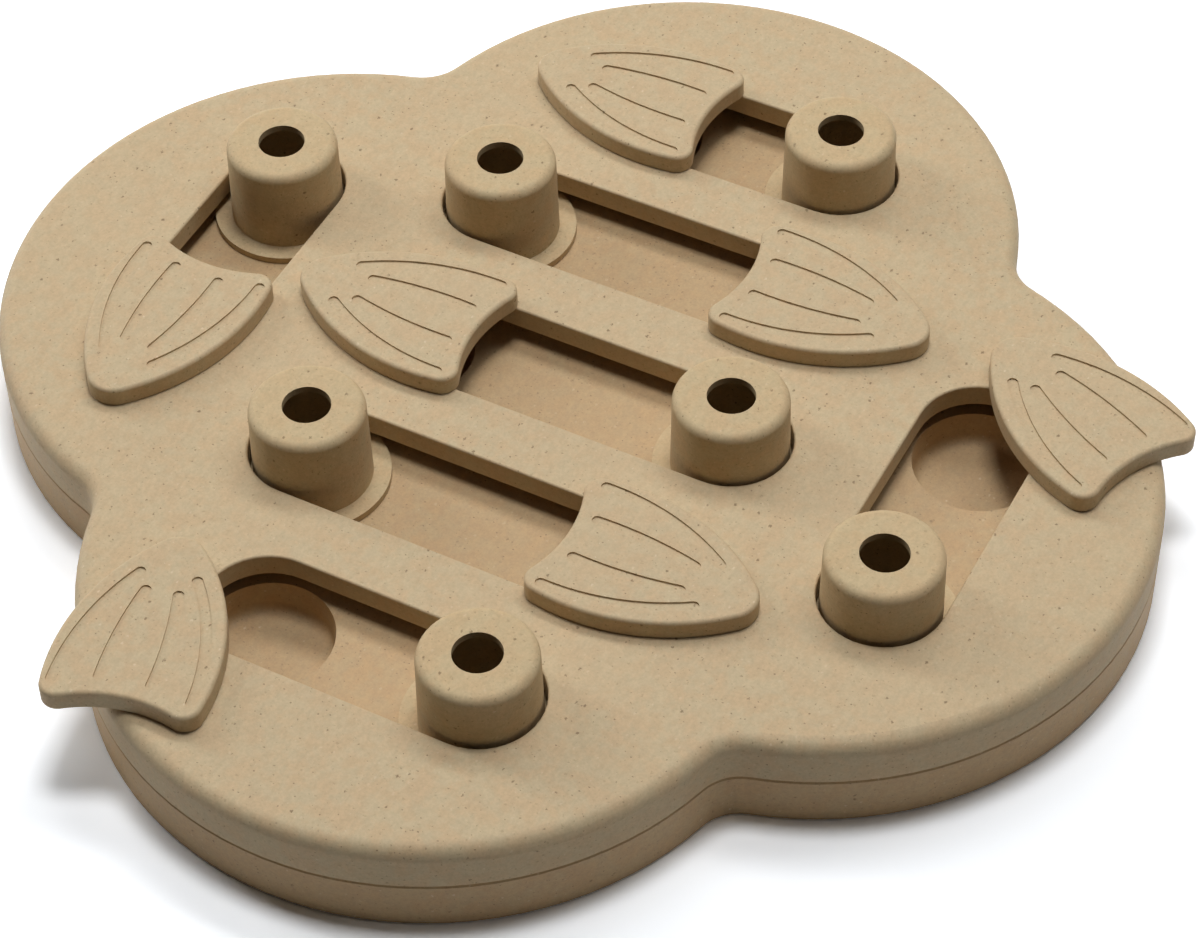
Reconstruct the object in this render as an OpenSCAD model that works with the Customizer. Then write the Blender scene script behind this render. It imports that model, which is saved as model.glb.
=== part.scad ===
// Sliding and swivelling food puzzle for dogs: a four-lobed two-part case with seven slots.
// Each slot has a hollow knob that slides from one food cup and a fin-shaped lid that swivels
// on a screw to cover the cup at the other end.
// The origin is in the middle of the board on the ground. X runs along the long slots, +Z is up.

/* [Case] */
// Radius of each of the four lobes
lobe_r = 114.6; // [112:0.1:116]
// Distance of a lobe's centre from the middle of the board
lobe_offset = 88.4; // [88:0.1:91]
// Radius of the hollow between two neighbouring lobes
notch_r = 15.4; // [12:0.1:18]
// Height of the closed case
case_h = 36; // [35:1:38]
// Height of the parting line between the two shells
parting_z = 19; // [18:0.5:19.5]
// Radius of the rounded top rim
rim_r = 5; // [4:0.5:6]
// Radius of the rounded bottom rim
foot_round = 1; // [0.6:0.1:1.4]
// Width of the small bevels that meet at the parting line
parting_bevel = 0.6; // [0.4:0.1:1]
// Wall thickness of both shells' skirts
skirt_t = 3; // [2.5:0.1:3.2]
// Thickness of the top plate
plate_t = 3; // [2.6:0.1:3.4]

/* [Slots] */
// Radius of the slots' round ends, half their width
slot_r = 20.8; // [20.5:0.1:21]
// Half the distance between the end centres of the three long slots
long_half = 60; // [58:1:61]
// Half the distance between the end centres of the four short slots
short_half = 38.5; // [38:0.5:40]
// Distance between neighbouring rows of slots
row_pitch = 65; // [64:0.5:66]
// Distance of the two slots across the rows from the middle of the board
side_x = 131.5; // [131:0.5:133]
// Depth of the lip that hangs down round each slot, from the top face
lip_depth = 8.2; // [7.5:0.1:9]
// Thickness of the lip
lip_t = 2.6; // [2:0.1:3]
// Radius of the slots' rounded top edges
slot_edge_r = 0.8; // [0.5:0.1:1]

/* [Deck and cups] */
// Height of the deck that the knobs slide on
deck_z = 22; // [21.5:0.1:22.5]
// Thickness of the deck
deck_t = 2.4; // [2:0.1:2.6]
// Radius of a food cup at the deck
cup_r = 21.6; // [21:0.1:22]
// Radius of a food cup's flat floor, before its rounded corner
cup_floor_r = 20.8; // [20:0.1:21.4]
// Depth of a food cup
cup_depth = 11; // [9:0.5:12]
// Radius of the rounded corner of a cup's floor
cup_round = 3.5; // [2:0.5:4]
// Wall thickness of a food cup
cup_t = 2.2; // [1.8:0.1:2.6]
// Gap between the deck's edge and the top shell's skirt
spigot_gap = 0.4; // [0.3:0.1:0.6]
// Thickness of the ribs under the deck
rib_t = 2; // [1.6:0.1:2.4]
// Depth of the ribs under the deck
rib_h = 10; // [8:0.5:12]

/* [Knobs] */
// Radius of a knob at its flange
knob_r = 19.7; // [19.4:0.1:19.9]
// Radius of a knob under its rounded top edge
knob_top_r = 19.2; // [18.8:0.1:19.4]
// Height of a knob's top above the case
knob_proud = 20; // [18:0.5:21]
// Radius of a knob's rounded top edge
knob_round = 3; // [2:0.5:4]
// Wall thickness of a knob
knob_t = 2.6; // [2.2:0.1:3]
// Radius of the hole in a knob's top
knob_hole_r = 8; // [7:0.5:9]
// Radius of a knob's flange
flange_r = 25.6; // [25:0.1:26]
// Thickness of a knob's flange
flange_t = 2.4; // [2:0.1:2.8]
// Gap between the flange and the deck
slide_gap = 0.2; // [0.2:0.1:0.4]

/* [Flippers] */
// Radius of a flipper's two long sides
side_r = 73.2; // [72:0.1:75]
// Half the greatest width of a flipper
flip_half_w = 27; // [26:0.5:28]
// Radius of a flipper's round end, which is centred on its pivot
tip_r = 9.4; // [8.5:0.1:9.5]
// Radius of the hollow at a flipper's free end
hollow_r = 46.992; // [40:0.001:50]
// Distance from the pivot to the bottom of that hollow
hollow_x = 56.876; // [56:0.001:57.4]
// Radius of the two corners beside the hollow
corner_r = 5.775; // [4.5:0.001:6]
// Thickness of a flipper
flip_t = 6.8; // [6:0.1:7]
// Radius of a flipper's rounded top edge
flip_round = 1.4; // [1:0.1:1.6]
// Gap between a flipper and the top plate
flip_gap = 0.3; // [0.2:0.1:0.4]
// Thickness of a flipper's walls round the pocket in its underside
flip_wall = 2.6; // [2.2:0.1:3]
// Width of the four channels in a flipper's top face
channel_w = 3.6; // [3:0.1:4]
// Depth of those channels
channel_depth = 0.7; // [0.5:0.1:0.9]

/* [Pivots] */
// Distance of a flipper's pivot from the end centre of its slot
pivot_gap = 31.4; // [31.2:0.1:31.8]
// Radius of the stub that a flipper turns on
stub_r = 4; // [3.8:0.1:4.2]
// Radial gap between that stub and its hole
stub_gap = 0.3; // [0.3:0.05:0.4]
// Radius of the boss round the stub's hole
pivot_boss_r = 8.5; // [8.3:0.1:9]
// Length of the stub's hole, through plate and boss
pivot_hole_l = 6; // [5.5:0.5:6.5]
// Radius of the washer under the stub
washer_r = 7; // [6.5:0.5:7.5]
// Thickness of the washer
washer_t = 1.2; // [1:0.1:1.4]
// Radius of the pivot and case screws' shanks
shank_r = 1.5; // [1.4:0.05:1.6]
// Radius of the screws' heads
head_r = 3.2; // [3:0.1:3.4]
// Height of the screws' heads
head_h = 2.2; // [2:0.1:2.4]

/* [Case screws] */
// Radius of the screw columns in both shells
column_r = 5; // [4.6:0.1:5.4]
// Distance of the outermost case screws from the middle of the board
outer_screw = 178; // [174:1:180]
// Distance of the case screws on the cross ribs from the middle of the board
cross_screw_x = 95; // [94:1:97]
// Length of a case screw under its head
case_screw_l = 16; // [14:1:17]
// Height of the case screws' head seats over the ground
head_seat_z = 13; // [12:0.5:14]

/* [Hidden] */
$fn = 96;
cut = 1;           // how far a cutting shape runs past the face that it opens
bite = 0.5;        // how far joined walls run into each other
bore_gap = 0.1;    // radial gap of a screw in its own bore
free_gap = 0.3;    // radial gap of a screw where it passes freely
sand = [0.78, 0.70, 0.57];
dark_sand = [0.70, 0.62, 0.49];
steel = [0.75, 0.76, 0.78];

// Each slot: its middle, half its length, the heading from its lid to its knob, the lid's swing as it stands
stations = [
  [[-side_x, 0], short_half, 90, 0],
  [[0, 2 * row_pitch], short_half, 0, 0],
  [[0, row_pitch], long_half, 180, 0],
  [[0, 0], long_half, 0, 0],
  [[0, -row_pitch], long_half, 180, 0],
  [[0, -2 * row_pitch], short_half, 0, -76],
  [[side_x, 0], short_half, 270, 63]
];
// Places of the case screws: on the rib crossings and out in the four lobes
case_screw_places = [
  for (s = [-1, 1]) [0, s * row_pitch / 2],
  for (s = [-1, 1]) [0, s * row_pitch * 3 / 2],
  for (s = [-1, 1], t = [-1, 1]) [s * cross_screw_x, t * row_pitch * 3 / 2],
  for (s = [-1, 1]) [0, s * outer_screw],
  for (s = [-1, 1]) [s * outer_screw, 0]
];
notch_c = (lobe_offset + sqrt(2 * pow(lobe_r + notch_r, 2) - pow(lobe_offset, 2))) / 2;
plate_z = case_h - plate_t;
lip_z = case_h - lip_depth;
ledge_t = 3;       // height of the ledge that joins the lower skirt to the deck
head_cover = 1.5;  // how far the screw columns reach below the head seats, in head heights
column_z = head_seat_z - head_cover * head_h;
rib_rows = [-1.5, -0.5, 0.5, 1.5]; // places of the ribs along X, in row pitches from the middle
knob_top_z = case_h + knob_proud;
flange_z = deck_z + slide_gap;
flip_z = case_h + flip_gap;
stub_z = case_h - pivot_hole_l - flip_gap / 2;
washer_z = stub_z - washer_t;
pivot_screw_l = 12; // length of a pivot screw's bore

// The flipper's outline in its own frame: pivot at the origin, free end along +X.
side_c = [sqrt(pow(side_r - tip_r, 2) - pow(side_r - flip_half_w, 2)), -(side_r - flip_half_w)];
hollow_c = [hollow_x + hollow_r, 0];
corner_c = meet(side_c, side_r - corner_r, hollow_c, hollow_r + corner_r);
// The flipper's channels on one side of its middle: start, a point on the way, and end
channel_arcs = [
  [[54.6, 22.4], [31.4, 19.7], [7.8, 9.4]],
  [[50.6, 8.4], [32, 8], [14.6, 5.4]]
];

// ---- Helpers ----

// The crossing of two circles on the +Y side
function meet(p, r, q, s) =
  let (
    d = norm(q - p),
    u = (q - p) / d,
    a = (r * r - s * s + d * d) / (2 * d),
    h = sqrt(r * r - a * a)
  )
  p + a * u + h * [-u[1], u[0]];

function heading_vector(angle) = [cos(angle), sin(angle)];
function flip_y(p) = [p[0], -p[1]];
function knob_place(s) = s[0] + s[1] * heading_vector(s[2]);
function cup_place(s) = s[0] - s[1] * heading_vector(s[2]);
function pivot_place(s) = s[0] - (s[1] + pivot_gap) * heading_vector(s[2]);
// The point at distance r beyond p, on the way from q through p
function beyond(q, p, r) = p + (p - q) / norm(p - q) * r;
function angle_about(c, p) = atan2(p[1] - c[1], p[0] - c[0]);
// The middle of the circle through three points
function arc_middle(points) =
  let (
    u = points[1] - points[0],
    v = points[2] - points[0],
    k = 2 * (u[0] * v[1] - u[1] * v[0])
  )
  points[0] + [v[1] * (u * u) - u[1] * (v * v), u[0] * (v * v) - v[0] * (u * u)] / k;

// Half a section of a round block with a rounded top edge and a bevelled bottom edge
module block_section(r, h, round_top, bevel) {
  polygon(concat(
    [[0, 0]],
    bevel > 0 ? [[r - bevel, 0], [r, bevel]] : [[r, 0]],
    round_top > 0 ? [[r, h - round_top], [r - round_top, h]] : [[r, h]],
    [[0, h]]
  ));
  if (round_top > 0) translate([r - round_top, h - round_top]) circle(round_top);
}

// Half a section of the cutter that leaves the same edges round a hollow
module cutter_section(r, h, round_top, bevel) {
  reach = r + round_top + bevel + cut;
  difference() {
    translate([0, -cut]) square([reach - cut / 2, h + 2 * cut]);
    polygon(concat(
      bevel > 0 ? [[r + bevel, 0], [r, bevel]] : [[r, 0]],
      round_top > 0 ? [[r, h - round_top], [r + round_top, h]] : [[r, h]],
      [[reach, h], [reach, 0]]
    ));
    if (round_top > 0) translate([r + round_top, h - round_top]) circle(round_top);
  }
}

// A solid of the case's outline, moved in by inset
module case_block(z, h, inset, round_top = 0, bevel = 0) {
  translate([0, 0, z]) difference() {
    for (a = [0 : 90 : 270]) rotate(a) {
      translate([lobe_offset, 0, 0]) rotate_extrude()
        block_section(lobe_r - inset, h, round_top, bevel);
      linear_extrude(h) polygon([[0, 0], [lobe_offset, 0], [notch_c, notch_c], [0, lobe_offset]]);
    }
    for (a = [0 : 90 : 270]) rotate(a) translate([notch_c, notch_c, 0]) rotate_extrude()
      cutter_section(notch_r + inset, h, round_top, bevel);
  }
}

// A round-ended bar along X
module bar(half, r, z, h) {
  translate([-half, -r, z]) cube([2 * half, 2 * r, h]);
  for (s = [-1, 1]) translate([s * half, 0, z]) cylinder(r = r, h = h);
}

// A round-ended cutter along X that leaves a rounded top edge
module slot_cutter(half, r, h, round_top) {
  for (s = [-1, 1]) translate([s * half, 0, 0]) rotate_extrude() cutter_section(r, h, round_top, 0);
  translate([-half, 0, 0]) rotate([90, 0, 90]) linear_extrude(2 * half)
    for (m = [0, 1]) mirror([m, 0]) cutter_section(r, h, round_top, 0);
}

module at_slot(s) translate(s[0]) rotate(s[2]) children();

// ---- Case ----

module top_shell() color(sand) difference() {
  union() {
    difference() {
      case_block(parting_z, case_h - parting_z, 0, rim_r, parting_bevel);
      case_block(parting_z - cut, plate_z - parting_z + cut, skirt_t, rim_r - skirt_t);
    }
    for (s = stations) {
      at_slot(s) bar(s[1], slot_r + lip_t, lip_z, plate_z - lip_z + bite);
      translate(pivot_place(s)) translate([0, 0, case_h - pivot_hole_l])
        cylinder(r = pivot_boss_r, h = pivot_hole_l - plate_t + bite);
    }
    for (p = case_screw_places) translate([p[0], p[1], deck_z])
      cylinder(r = column_r, h = plate_z - deck_z + bite);
  }
  for (s = stations) {
    at_slot(s) translate([0, 0, lip_z]) slot_cutter(s[1], slot_r, lip_depth, slot_edge_r);
    translate(pivot_place(s)) translate([0, 0, lip_z - cut])
      cylinder(r = stub_r + stub_gap, h = lip_depth + 2 * cut);
  }
  for (p = case_screw_places) translate([p[0], p[1], deck_z - cut])
    cylinder(r = shank_r + bore_gap, h = plate_z - deck_z);
}

module cup_solid() {
  translate([0, 0, deck_z - cup_depth - cup_t]) cylinder(r = cup_r + cup_t, h = cup_depth + cup_t);
}

module cup_cutter() {
  translate([0, 0, deck_z - cup_depth]) rotate_extrude() {
    polygon([
      [0, 0], [cup_floor_r - cup_round, 0], [cup_floor_r, cup_round],
      [cup_r, cup_depth], [cup_r, cup_depth + cut], [0, cup_depth + cut]
    ]);
    translate([cup_floor_r - cup_round, cup_round]) circle(cup_round);
  }
}

module ribs() {
  rib_z = deck_z - deck_t - rib_h;
  reach = 2 * (lobe_offset + lobe_r);
  intersection() {
    union() {
      case_block(rib_z, parting_z - ledge_t + bite - rib_z, skirt_t - bite);
      case_block(rib_z, rib_h + bite, skirt_t + spigot_gap + bite);
    }
    union() {
      for (y = rib_rows) translate([-reach / 2, y * row_pitch - rib_t / 2, rib_z])
        cube([reach, rib_t, rib_h + bite]);
      for (x = [-cross_screw_x, 0, cross_screw_x]) translate([x - rib_t / 2, -reach / 2, rib_z])
        cube([rib_t, reach, rib_h + bite]);
    }
  }
}

module bottom_shell() color(dark_sand) difference() {
  union() {
    difference() {
      union() {
        mirror([0, 0, 1]) case_block(-parting_z, parting_z, 0, foot_round, parting_bevel);
        case_block(parting_z - bite, deck_z - parting_z + bite, skirt_t + spigot_gap);
      }
      case_block(-cut, parting_z - ledge_t + cut, skirt_t);
      case_block(parting_z - ledge_t - cut, deck_z - deck_t - parting_z + ledge_t + cut, 2 * skirt_t + spigot_gap);
    }
    ribs();
    for (s = stations) {
      translate(knob_place(s)) cup_solid();
      translate(cup_place(s)) cup_solid();
    }
    for (p = case_screw_places) translate([p[0], p[1], column_z])
      cylinder(r = column_r, h = deck_z - column_z - bite);
  }
  for (s = stations) {
    translate(knob_place(s)) cup_cutter();
    translate(cup_place(s)) cup_cutter();
  }
  for (p = case_screw_places) translate([p[0], p[1], 0]) {
    cylinder(r = head_r + free_gap, h = head_seat_z);
    cylinder(r = shank_r + free_gap, h = deck_z + cut);
  }
}

module case_screws() color(steel) for (p = case_screw_places)
  translate([p[0], p[1], head_seat_z]) screw(case_screw_l);

// A screw that points up, with its head's bearing face at z = 0
module screw(length) {
  translate([0, 0, -head_h]) cylinder(r = head_r, h = head_h);
  cylinder(r = shank_r, h = length);
}

// ---- Moving pieces ----

module slider(s) color(sand) translate(knob_place(s)) rotate_extrude() difference() {
  union() {
    polygon([
      [0, flange_z], [flange_r, flange_z], [flange_r, flange_z + flange_t],
      [knob_r, flange_z + flange_t], [knob_top_r, knob_top_z - knob_round],
      [knob_top_r - knob_round, knob_top_z], [0, knob_top_z]
    ]);
    translate([knob_top_r - knob_round, knob_top_z - knob_round]) circle(knob_round);
  }
  polygon([
    [0, flange_z - cut], [knob_r - knob_t, flange_z - cut], [knob_r - knob_t, flange_z],
    [knob_top_r - knob_t, knob_top_z - knob_t], [0, knob_top_z - knob_t]
  ]);
  translate([0, knob_top_z - knob_t - cut]) square([knob_hole_r, knob_t + 2 * cut]);
}

// A round block of the flipper's thickness with its rounded top edge
module fin_disc(p, r, h, round_top) translate(p) rotate_extrude() block_section(r, h, round_top, 0);

// The flipper's outline as a solid, moved in by inset
module fin(h, inset, round_top) {
  corner = corner_c;
  reach = tip_r + corner_r;
  upper = [
    [0, 0], beyond(side_c, [0, 0], reach), [side_c[0] / 2, 2 * flip_half_w],
    beyond(side_c, corner, reach), corner, corner + (hollow_c - corner) / norm(hollow_c - corner) * reach
  ];
  difference() {
    intersection() {
      intersection_for (m = [0, 1]) mirror([0, m, 0]) fin_disc(side_c, side_r - inset, h, round_top);
      linear_extrude(h) polygon(concat(upper, [for (i = [5 : -1 : 1]) flip_y(upper[i])]));
    }
    translate(hollow_c) rotate_extrude() cutter_section(hollow_r + inset, h, round_top, 0);
  }
  fin_disc([0, 0], tip_r - inset, h, round_top);
  for (m = [0, 1]) mirror([0, m, 0]) fin_disc(corner, corner_r - inset, h, round_top);
}

// One channel: a round-ended groove along the arc through three points
module channel(points) {
  c = arc_middle(points);
  from = angle_about(c, points[0]);
  to = angle_about(c, points[2]);
  translate(c) rotate(from) rotate_extrude(angle = to - from)
    translate([norm(points[0] - c) - channel_w / 2, 0]) square([channel_w, channel_depth + cut]);
  for (p = [points[0], points[2]]) translate(p) cylinder(r = channel_w / 2, h = channel_depth + cut);
}

// The lid of a flipper, hollow underneath, with its channels
module lid() difference() {
  fin(flip_t, 0, flip_round);
  translate([0, 0, -cut]) difference() {
    fin(flip_t - flip_wall + cut, flip_wall, 0);
    cylinder(r = tip_r, h = flip_t);
  }
  translate([0, 0, flip_t - channel_depth]) for (m = [0, 1]) mirror([0, m, 0])
    for (points = channel_arcs) channel(points);
}

module flipper(s) color(sand) translate(pivot_place(s)) rotate(s[2] + s[3]) difference() {
  union() {
    translate([0, 0, flip_z]) lid();
    translate([0, 0, stub_z]) cylinder(r = stub_r, h = flip_z - stub_z + bite);
  }
  translate([0, 0, stub_z - cut]) cylinder(r = shank_r + bore_gap, h = pivot_screw_l);
}

module pivot_washer(s) color(steel) translate(pivot_place(s)) translate([0, 0, washer_z]) difference() {
  cylinder(r = washer_r, h = washer_t);
  translate([0, 0, -cut]) cylinder(r = shank_r + bore_gap, h = washer_t + 2 * cut);
}

module pivot_screw(s) color(steel) translate(pivot_place(s)) translate([0, 0, washer_z])
  screw(pivot_screw_l - cut);

top_shell();
bottom_shell();
slider(stations[0]);  // slider_1
slider(stations[1]);  // slider_2
slider(stations[2]);  // slider_3
slider(stations[3]);  // slider_4
slider(stations[4]);  // slider_5
slider(stations[5]);  // slider_6
slider(stations[6]);  // slider_7
flipper(stations[0]);  // flipper_1
flipper(stations[1]);  // flipper_2
flipper(stations[2]);  // flipper_3
flipper(stations[3]);  // flipper_4
flipper(stations[4]);  // flipper_5
flipper(stations[5]);  // flipper_6
flipper(stations[6]);  // flipper_7
pivot_washer(stations[0]);  // pivot_washer_1
pivot_washer(stations[1]);  // pivot_washer_2
pivot_washer(stations[2]);  // pivot_washer_3
pivot_washer(stations[3]);  // pivot_washer_4
pivot_washer(stations[4]);  // pivot_washer_5
pivot_washer(stations[5]);  // pivot_washer_6
pivot_washer(stations[6]);  // pivot_washer_7
pivot_screw(stations[0]);  // pivot_screw_1
pivot_screw(stations[1]);  // pivot_screw_2
pivot_screw(stations[2]);  // pivot_screw_3
pivot_screw(stations[3]);  // pivot_screw_4
pivot_screw(stations[4]);  // pivot_screw_5
pivot_screw(stations[5]);  // pivot_screw_6
pivot_screw(stations[6]);  // pivot_screw_7
case_screws();
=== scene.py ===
"""Looks of a sliding and swivelling food puzzle for dogs.

The solids of the puzzle come from the frame: a lobed case in two shells, hollow knobs that
slide in its slots, and fin-shaped lids that swivel on screws over the food cups. This script
dresses them in a moulded wood-fibre composite and plated steel, and sets up the studio.
All lengths are in metres.
"""

from __future__ import annotations

import logging
import math
from dataclasses import dataclass
from enum import Enum
from functools import cached_property

import bpy
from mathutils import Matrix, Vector


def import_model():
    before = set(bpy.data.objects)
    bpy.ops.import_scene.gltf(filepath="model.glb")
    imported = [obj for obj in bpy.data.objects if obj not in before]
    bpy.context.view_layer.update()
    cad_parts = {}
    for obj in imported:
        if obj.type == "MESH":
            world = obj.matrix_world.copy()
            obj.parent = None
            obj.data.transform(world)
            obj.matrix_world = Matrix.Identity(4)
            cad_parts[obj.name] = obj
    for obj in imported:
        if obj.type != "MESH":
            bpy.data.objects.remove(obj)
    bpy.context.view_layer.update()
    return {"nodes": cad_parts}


LOG = logging.getLogger("puzzle")
Colour = tuple[float, float, float]
Point = tuple[float, float, float]
Socket = bpy.types.NodeSocket

WHITE: Colour = (1.0, 1.0, 1.0)
DARK_FIBRE: Colour = (0.105, 0.055, 0.018)
GREY_FIBRE: Colour = (0.290, 0.200, 0.105)
PALE_FIBRE: Colour = (0.760, 0.640, 0.450)
NOISE_WAY: Point = (1.0, 0.7, 1.3)
FLECK_WAY: Point = (1.0, 1.7, 0.4)


class Blend(Enum):
    """How one colour goes over another."""

    MIX = "MIX"
    MULTIPLY = "MULTIPLY"


class Sums(Enum):
    """The sums that the finishes need."""

    ADD = "ADD"
    SUBTRACT = "SUBTRACT"
    MULTIPLY = "MULTIPLY"
    LESS = "LESS_THAN"
    MAXIMUM = "MAXIMUM"


@dataclass(frozen=True)
class Ramp:
    """Stretches the values from low to high over those from start to end, with soft ends."""

    low: float
    high: float
    start: float = 0.0
    end: float = 1.0


@dataclass(frozen=True)
class Pattern:
    """A soft random pattern.

    Waves counts them to the metre, layers counts the finer ones on top and weight is theirs.
    The shift moves the pattern, so that two patterns differ.
    """

    waves: float
    layers: float
    weight: float
    shift: float = 0.0
    stretch: Point = (1.0, 1.0, 1.0)


@dataclass(frozen=True)
class Flecks:
    """One layer of flecks.

    Spacing is the mean distance between the places where a fleck may be, share is how many of
    them hold one, radius is the largest fleck's, and cover is how much of its tone shows.
    Smallest, rim and ragged reach are shares of the radius, ragged waves counts the waves of
    the torn edge to the radius, and faintest is a share of cover.
    """

    spacing: float
    radius: float
    share: float
    cover: float
    tone: Colour
    shift: float
    stretch: Point
    smallest: float = 0.35
    faintest: float = 0.35
    rim: float = 0.3
    ragged_waves: float = 0.7
    ragged_reach: float = 3.0


class NodeBench:
    """A small workbench for the nodes of one material or world."""

    def __init__(self, block: bpy.types.Material | bpy.types.World) -> None:
        """Empties the node tree of a material or world.

        Args:
            block: The material or world.
        """
        block.use_nodes = True
        self.block = block
        self.tree = block.node_tree
        self.tree.nodes.clear()

    @cached_property
    def place(self) -> Socket:
        """The coordinates of the point on the object."""
        return self.add("ShaderNodeTexCoord").outputs["Object"]

    def add(self, kind: str, **settings: object) -> bpy.types.Node:
        """Adds one node.

        Args:
            kind: Blender's name for the node type.
            **settings: Attributes of the node to set.

        Returns:
            The new node.
        """
        node = self.tree.nodes.new(kind)
        for name, value in settings.items():
            setattr(node, name, value)
        return node

    def feed(self, socket: Socket, value: object) -> None:
        """Links an output to a socket, or sets the socket's own value.

        Args:
            socket: The input socket.
            value: An output socket, a number or a colour.
        """
        if isinstance(value, Socket):
            self.tree.links.new(value, socket)
        elif socket.type == "RGBA":
            socket.default_value = (*value, 1.0)
        else:
            socket.default_value = value

    def moved(self, start: Socket, stretch: Point, shift: float, way: Point) -> Socket:
        """Stretches and moves coordinates.

        Args:
            start: The coordinates.
            stretch: Scale along each axis.
            shift: How far they move.
            way: The direction in which they move.

        Returns:
            The new coordinates.
        """
        node = self.add("ShaderNodeMapping")
        self.feed(node.inputs["Vector"], start)
        self.feed(node.inputs["Scale"], stretch)
        self.feed(node.inputs["Location"], tuple(shift * part for part in way))
        return node.outputs["Vector"]

    def noise(self, pattern: Pattern, shift: float = 0.0) -> Socket:
        """Adds a soft random pattern.

        Args:
            pattern: The pattern.
            shift: How far all patterns of the finish are moved.

        Returns:
            The pattern's value, from 0 to 1 with its middle at 0.5.
        """
        where = self.moved(self.place, pattern.stretch, shift + pattern.shift, NOISE_WAY)
        node = self.add("ShaderNodeTexNoise")
        self.feed(node.inputs["Vector"], where)
        self.feed(node.inputs["Scale"], pattern.waves)
        self.feed(node.inputs["Detail"], pattern.layers)
        self.feed(node.inputs["Roughness"], pattern.weight)
        return node.outputs["Fac"]

    def sums(self, kind: Sums, first: object, second: object) -> Socket:
        """Adds a sum of two values.

        Args:
            kind: The kind of sum.
            first: First value or socket.
            second: Second value or socket.

        Returns:
            The result.
        """
        node = self.add("ShaderNodeMath", operation=kind.value)
        self.feed(node.inputs[0], first)
        self.feed(node.inputs[1], second)
        return node.outputs[0]

    def spread(self, value: object, ramp: Ramp) -> Socket:
        """Stretches a range of values over another.

        Args:
            value: The value or socket.
            ramp: The two ranges.

        Returns:
            The new value.
        """
        node = self.add("ShaderNodeMapRange", interpolation_type="SMOOTHSTEP")
        for index, number in enumerate((value, ramp.low, ramp.high, ramp.start, ramp.end)):
            self.feed(node.inputs[index], number)
        return node.outputs[0]

    def blend(self, kind: Blend, amount: object, under: object, over: object) -> Socket:
        """Lays one colour over another.

        Args:
            kind: How the colours blend.
            amount: How much of the upper colour shows.
            under: Colour or socket below.
            over: Colour or socket above.

        Returns:
            The blended colour.
        """
        node = self.add("ShaderNodeMix", data_type="RGBA", blend_type=kind.value)
        self.feed(node.inputs[0], amount)
        self.feed(node.inputs[6], under)
        self.feed(node.inputs[7], over)
        return node.outputs[2]

    def grey(self, value: Socket) -> Socket:
        """Turns a value into a grey of that brightness.

        Args:
            value: The value.

        Returns:
            The grey.
        """
        node = self.add("ShaderNodeCombineColor")
        for index in range(3):
            self.feed(node.inputs[index], value)
        return node.outputs[0]

    def flecks(self, layer: Flecks, shift: float) -> Socket:
        """Scatters small ragged flecks through the material.

        Args:
            layer: The layer of flecks.
            shift: How far all patterns of the finish are moved.

        Returns:
            The mask of the flecks, from 0 to 1.
        """
        ragged = self.add("ShaderNodeTexNoise")
        self.feed(ragged.inputs["Vector"], self.place)
        self.feed(ragged.inputs["Scale"], layer.ragged_waves / layer.radius)
        bent = self.add("ShaderNodeVectorMath", operation="MULTIPLY_ADD")
        reach = (layer.ragged_reach * layer.radius,) * 3
        for index, value in enumerate((ragged.outputs["Color"], reach, self.place)):
            self.feed(bent.inputs[index], value)
        where = self.moved(bent.outputs[0], layer.stretch, shift + layer.shift, FLECK_WAY)
        cells = self.add("ShaderNodeTexVoronoi", feature="F1")
        self.feed(cells.inputs["Vector"], where)
        self.feed(cells.inputs["Scale"], 1.0 / layer.spacing)
        chance = self.add("ShaderNodeSeparateColor")
        self.feed(chance.inputs[0], cells.outputs["Color"])
        largest = layer.radius / layer.spacing
        sizes = Ramp(0.0, 1.0, layer.smallest * largest, largest)
        rim = Ramp(-layer.rim * largest, layer.rim * largest)
        size = self.spread(chance.outputs[1], sizes)
        depth = self.sums(Sums.SUBTRACT, cells.outputs["Distance"], size)
        inside = self.sums(Sums.SUBTRACT, 1.0, self.spread(depth, rim))
        kept = self.sums(Sums.LESS, chance.outputs[0], layer.share)
        faint = self.spread(chance.outputs[2], Ramp(0.0, 1.0, layer.faintest, 1.0))
        return self.sums(Sums.MULTIPLY, inside, self.sums(Sums.MULTIPLY, kept, faint))

    def finish(self, colour: object, roughness: object, height: object, lift: float,
               metal: float = 0.0, gloss: float = 0.5) -> bpy.types.Material:
        """Joins the patterns in one surface.

        Args:
            colour: Colour or socket.
            roughness: Roughness or socket.
            height: Height pattern from 0 to 1.
            lift: Height in metres that a value of 1 stands for.
            metal: 1 for bare metal, 0 for plastic.
            gloss: Strength of the reflection of a plastic.

        Returns:
            The finished material.
        """
        bump = self.add("ShaderNodeBump")
        self.feed(bump.inputs["Strength"], 1.0)
        self.feed(bump.inputs["Distance"], lift)
        self.feed(bump.inputs["Height"], height)
        shader = self.add("ShaderNodeBsdfPrincipled")
        self.feed(shader.inputs["Base Color"], colour)
        self.feed(shader.inputs["Roughness"], roughness)
        self.feed(shader.inputs["Metallic"], metal)
        self.feed(shader.inputs["Specular IOR Level"], gloss)
        self.feed(shader.inputs["Normal"], bump.outputs[0])
        out = self.add("ShaderNodeOutputMaterial")
        self.feed(out.inputs["Surface"], shader.outputs[0])
        return self.block

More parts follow.
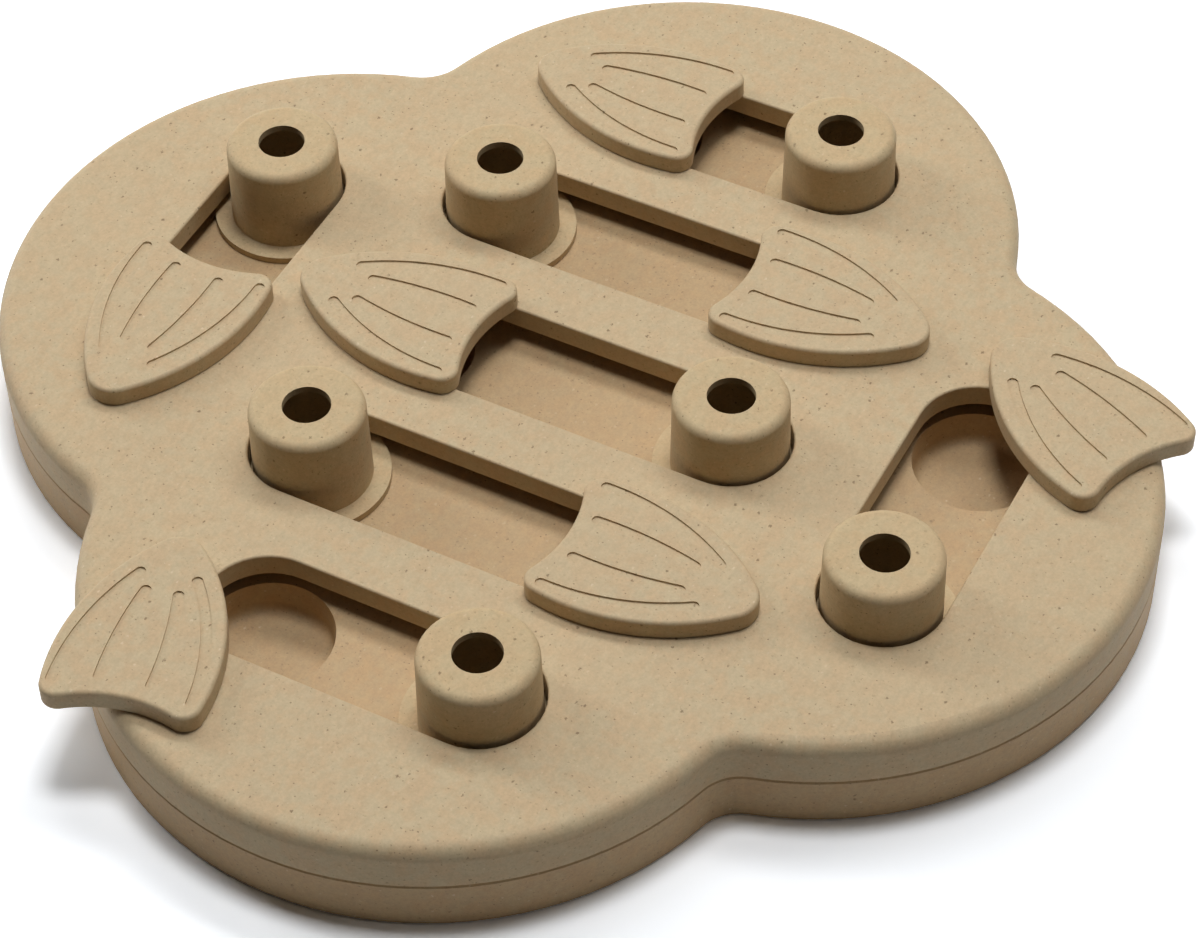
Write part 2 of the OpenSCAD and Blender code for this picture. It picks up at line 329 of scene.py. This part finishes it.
    def part_by_ray(self, kind: str, unseen: Socket, seen: Socket) -> None:
        """Ends the tree in two shaders, one of them for the rays that show the surroundings.

        Args:
            kind: Blender's name for the output node.
            unseen: The shader that lights the object.
            seen: The shader that the camera, mirrors and glass show.
        """
        rays = self.add("ShaderNodeLightPath")
        shown = rays.outputs["Is Camera Ray"]
        for ray in ("Is Glossy Ray", "Is Transmission Ray"):
            shown = self.sums(Sums.MAXIMUM, shown, rays.outputs[ray])
        mixed = self.add("ShaderNodeMixShader")
        for index, value in enumerate((shown, unseen, seen)):
            self.feed(mixed.inputs[index], value)
        out = self.add(kind)
        self.feed(out.inputs["Surface"], mixed.outputs[0])


@dataclass(frozen=True)
class CompositeFinish:
    """Moulded wood-fibre composite: matt sand colour with dark and pale flecks."""

    name: str
    base: Colour = (0.545, 0.417, 0.256)
    warm: Colour = (0.540, 0.391, 0.234)
    cool: Colour = (0.524, 0.425, 0.268)
    roughness: float = 0.60
    smoother: float = 0.05
    rougher: float = 0.06
    gloss: float = 0.20
    lift: float = 0.00012
    pit: float = 0.35
    shift: float = 0.0
    patches: Pattern = Pattern(140.0, 3.0, 0.55)
    clouds: Pattern = Pattern(22.0, 2.0, 0.5, shift=3.0)
    grain: Pattern = Pattern(1150.0, 2.0, 0.6)
    fibres: Pattern = Pattern(520.0, 3.0, 0.6, shift=1.0, stretch=(1.0, 0.55, 1.0))
    patch_ramp: Ramp = Ramp(0.36, 0.64)
    cloud_ramp: Ramp = Ramp(0.3, 0.7, 0.25, 0.65)
    grain_ramp: Ramp = Ramp(0.25, 0.75, 0.95, 1.05)
    fibre_ramp: Ramp = Ramp(0.3, 0.7, -0.045, 0.045)
    pale: Flecks = Flecks(0.0020, 0.00040, 0.32, 0.40, PALE_FIBRE, 5.0, (1.0, 0.7, 1.0))
    grey: Flecks = Flecks(0.0015, 0.00040, 0.50, 0.35, GREY_FIBRE, 7.0, (0.7, 1.0, 1.0))
    fine: Flecks = Flecks(0.0013, 0.00025, 0.45, 0.60, DARK_FIBRE, 13.0, (0.8, 1.0, 1.0))
    dark: Flecks = Flecks(0.0027, 0.00046, 0.34, 0.60, DARK_FIBRE, 9.0, (1.0, 0.75, 1.0))

    def material(self) -> bpy.types.Material:
        """Builds the composite's material.

        Returns:
            The material.
        """
        bench = NodeBench(bpy.data.materials.new(self.name))
        grain = bench.noise(self.grain, self.shift)
        fibres = bench.noise(self.fibres, self.shift)
        colour = self.mottle(bench)
        light = bench.sums(Sums.ADD, bench.spread(grain, self.grain_ramp),
                           bench.spread(fibres, self.fibre_ramp))
        colour = bench.blend(Blend.MULTIPLY, 1.0, colour, bench.grey(light))
        layers = (self.pale, self.grey, self.fine, self.dark)
        masks = [bench.flecks(layer, self.shift) for layer in layers]
        for layer, mask in zip(layers, masks):
            amount = bench.sums(Sums.MULTIPLY, mask, layer.cover)
            colour = bench.blend(Blend.MIX, amount, colour, layer.tone)
        height = bench.sums(Sums.MULTIPLY, bench.sums(Sums.ADD, grain, fibres), 0.5)
        # Only the dark flecks, the last layer, lie in pits.
        pits = bench.sums(Sums.MULTIPLY, masks[-1], self.pit)
        height = bench.sums(Sums.SUBTRACT, height, pits)
        matt = Ramp(self.fibre_ramp.low, self.fibre_ramp.high,
                    self.roughness - self.smoother, self.roughness + self.rougher)
        return bench.finish(colour, bench.spread(fibres, matt), height, self.lift,
                            gloss=self.gloss)

    def mottle(self, bench: NodeBench) -> Socket:
        """Mixes the warm, cool and base tones in soft patches.

        Args:
            bench: The material's bench.

        Returns:
            The mottled colour.
        """
        patches = bench.spread(bench.noise(self.patches, self.shift), self.patch_ramp)
        clouds = bench.spread(bench.noise(self.clouds, self.shift), self.cloud_ramp)
        colour = bench.blend(Blend.MIX, patches, self.cool, self.warm)
        return bench.blend(Blend.MIX, clouds, colour, self.base)


@dataclass(frozen=True)
class SteelFinish:
    """Plated steel with fine turning marks."""

    name: str
    base: Colour = (0.62, 0.62, 0.64)
    stain: Colour = (0.47, 0.46, 0.45)
    roughness: float = 0.34
    smoother: float = 0.06
    rougher: float = 0.08
    lift: float = 0.00002
    marks: Pattern = Pattern(900.0, 3.0, 0.6, stretch=(1.0, 1.0, 6.0))
    stains: Pattern = Pattern(160.0, 2.0, 0.5, shift=2.0)
    mark_ramp: Ramp = Ramp(0.3, 0.7)
    stain_ramp: Ramp = Ramp(0.35, 0.7, 0.0, 0.3)

    def material(self) -> bpy.types.Material:
        """Builds the steel's material.

        Returns:
            The material.
        """
        bench = NodeBench(bpy.data.materials.new(self.name))
        marks = bench.noise(self.marks)
        stains = bench.spread(bench.noise(self.stains), self.stain_ramp)
        colour = bench.blend(Blend.MIX, stains, self.base, self.stain)
        satin = Ramp(self.mark_ramp.low, self.mark_ramp.high,
                     self.roughness - self.smoother, self.roughness + self.rougher)
        return bench.finish(colour, bench.spread(marks, satin), marks, self.lift, metal=1.0)


@dataclass
class Dressed:
    """Anything made of nodes of the frame that wear one finish each."""

    def wear(self, node: str, nodes: dict[str, bpy.types.Object],
             material: bpy.types.Material) -> None:
        """Puts one material on one node of the frame.

        Args:
            node: The node's name.
            nodes: The frame's nodes.
            material: The material.
        """
        data = nodes[node].data
        data.materials.clear()
        data.materials.append(material)
        LOG.info("%s wears %s", node, material.name)


@dataclass
class Case(Dressed):
    """The lobed case: two shells held together by screws from below."""

    shells: tuple[str, str] = ("top_shell", "bottom_shell")
    screws: str = "case_screws"
    top: CompositeFinish = CompositeFinish("composite_top")
    # Painted shade: the bottom shell wears a darker, warmer copy of the top's composite,
    # standing in for the shade and warm bounce light in its slots and on its lower skirt.
    bottom: CompositeFinish = CompositeFinish(
        "composite_bottom_painted_shade", base=(0.490, 0.336, 0.180), warm=(0.492, 0.324, 0.170),
        cool=(0.478, 0.348, 0.194), gloss=0.35, shift=11.0)

    def dress(self, nodes: dict[str, bpy.types.Object], steel: bpy.types.Material) -> None:
        """Dresses both shells and their screws.

        Args:
            nodes: The frame's nodes.
            steel: The fasteners' material.
        """
        for shell, finish in zip(self.shells, (self.top, self.bottom)):
            self.wear(shell, nodes, finish.material())
        self.wear(self.screws, nodes, steel)


@dataclass
class Stations(Dressed):
    """The stations of the puzzle: a sliding knob and a swivelling lid at each slot."""

    count: int = 7
    knob: CompositeFinish = CompositeFinish(
        "composite_knob", base=(0.558, 0.420, 0.246), warm=(0.551, 0.397, 0.228),
        cool=(0.535, 0.427, 0.258), gloss=0.12, shift=23.0)
    lid: CompositeFinish = CompositeFinish("composite_lid", shift=37.0)

    def dress(self, nodes: dict[str, bpy.types.Object], steel: bpy.types.Material) -> None:
        """Dresses every knob, lid, washer and pivot screw.

        Args:
            nodes: The frame's nodes.
            steel: The fasteners' material.
        """
        knob, lid = self.knob.material(), self.lid.material()
        for number in range(1, self.count + 1):
            self.wear(f"slider_{number}", nodes, knob)
            self.wear(f"flipper_{number}", nodes, lid)
            self.wear(f"pivot_washer_{number}", nodes, steel)
            self.wear(f"pivot_screw_{number}", nodes, steel)


@dataclass(frozen=True)
class Softbox:
    """One soft studio lamp."""

    name: str
    place: Point
    size: tuple[float, float]
    power: float
    aim: Point = (0.0, 0.0, 0.03)

    def build(self) -> None:
        """Hangs the lamp and turns it to the puzzle."""
        data = bpy.data.lights.new(self.name, "AREA")
        data.shape = "RECTANGLE"
        data.size, data.size_y = self.size
        data.energy = self.power
        lamp = bpy.data.objects.new(self.name, data)
        lamp.location = self.place
        way = Vector(self.aim) - Vector(self.place)
        lamp.rotation_euler = way.to_track_quat("-Z", "Y").to_euler()
        bpy.context.scene.collection.objects.link(lamp)
        LOG.info("lamp %s", self.name)


@dataclass
class Studio:
    """Pale floor, sky, lamps and camera.

    The floor lights the puzzle with its own tone, which falls to the table's tone where the
    paper ends. The camera sees it in the bright tone, with a glow that grows far away.
    """

    floor_size: float = 12.0
    floor_tone: Colour = (0.80, 0.79, 0.78)
    table_tone: Colour = (0.10, 0.10, 0.10)
    paper_edge: Ramp = Ramp(0.33, 0.50)
    bright_tone: Colour = (1.28, 1.32, 1.37)
    far_glow: Ramp = Ramp(0.26, 0.70)
    sky_tone: float = 0.005
    lamps: tuple[Softbox, ...] = (
        Softbox("overhead_softbox", (-0.05, 0.25, 2.6), (0.7, 0.5), 30.0),
        Softbox("back_softbox", (-0.05, 1.15, 2.2), (2.4, 0.5), 27.5),
        Softbox("left_softbox", (-2.0, 0.35, 1.5), (0.6, 1.0), 12.0),
        Softbox("left_strip", (-2.0, 0.25, 0.6), (0.5, 1.2), 8.5),
        Softbox("right_strip", (2.0, 0.60, 0.9), (0.6, 1.0), 2.6),
    )
    camera_place: Point = (0.390504, -0.701879, 0.878400)
    camera_turn: Point = (42.13093, 0.78368, 27.50124)
    lens: float = 105.517
    film_width: float = 36.0
    clip: tuple[float, float] = (0.05, 50.0)

    def build(self) -> None:
        """Builds the whole studio."""
        self.lay_floor()
        self.light_sky()
        for lamp in self.lamps:
            lamp.build()
        self.stand_camera()
        bpy.context.scene.view_settings.view_transform = "Standard"

    def lay_floor(self) -> None:
        """Lays the floor, which the camera and mirrors see as white with the shadow kept."""
        half = self.floor_size / 2
        mesh = bpy.data.meshes.new("studio_floor")
        corners = [(-half, -half, 0), (half, -half, 0), (half, half, 0), (-half, half, 0)]
        mesh.from_pydata(corners, [], [(0, 1, 2, 3)])
        floor = bpy.data.objects.new("studio_floor", mesh)
        bpy.context.scene.collection.objects.link(floor)
        bench = NodeBench(bpy.data.materials.new("studio_floor_paper"))
        away = bench.add("ShaderNodeVectorMath", operation="LENGTH")
        bench.feed(away.inputs[0], bench.place)
        distance = away.outputs["Value"]
        paper = bench.add("ShaderNodeBsdfDiffuse")
        bench.feed(paper.inputs["Color"], bench.blend(
            Blend.MIX, bench.spread(distance, self.paper_edge), self.floor_tone,
            self.table_tone))
        bright = bench.add("ShaderNodeBsdfDiffuse")
        bench.feed(bright.inputs["Color"], self.bright_tone)
        glow = bench.add("ShaderNodeEmission")
        bench.feed(glow.inputs["Strength"], bench.spread(distance, self.far_glow))
        white = bench.add("ShaderNodeAddShader")
        bench.feed(white.inputs[0], bright.outputs[0])
        bench.feed(white.inputs[1], glow.outputs[0])
        bench.part_by_ray("ShaderNodeOutputMaterial", paper.outputs[0], white.outputs[0])
        mesh.materials.append(bench.block)

    def light_sky(self) -> None:
        """Fills the space with faint light; the camera and mirrors see white there."""
        world = bpy.data.worlds.new("studio_sky")
        bpy.context.scene.world = world
        bench = NodeBench(world)
        skies = []
        for strength in (self.sky_tone, 1.0):
            sky = bench.add("ShaderNodeBackground")
            bench.feed(sky.inputs["Color"], WHITE)
            bench.feed(sky.inputs["Strength"], strength)
            skies.append(sky.outputs[0])
        bench.part_by_ray("ShaderNodeOutputWorld", *skies)

    def stand_camera(self) -> None:
        """Stands the camera in front of the puzzle, high and a little to the right."""
        data = bpy.data.cameras.new("studio_camera")
        data.sensor_fit = "HORIZONTAL"
        data.sensor_width = self.film_width
        data.lens = self.lens
        data.clip_start, data.clip_end = self.clip
        camera = bpy.data.objects.new("studio_camera", data)
        camera.location = self.camera_place
        camera.rotation_euler = tuple(math.radians(turn) for turn in self.camera_turn)
        bpy.context.scene.collection.objects.link(camera)
        bpy.context.scene.camera = camera


def main() -> None:
    """Dresses the puzzle and builds the studio round it."""
    logging.basicConfig(level=logging.INFO, format="%(name)s: %(message)s")
    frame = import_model()
    nodes = frame["nodes"]
    steel = SteelFinish("plated_steel").material()
    Case().dress(nodes, steel)
    Stations().dress(nodes, steel)
    Studio().build()


if __name__ == "__main__":
    main()
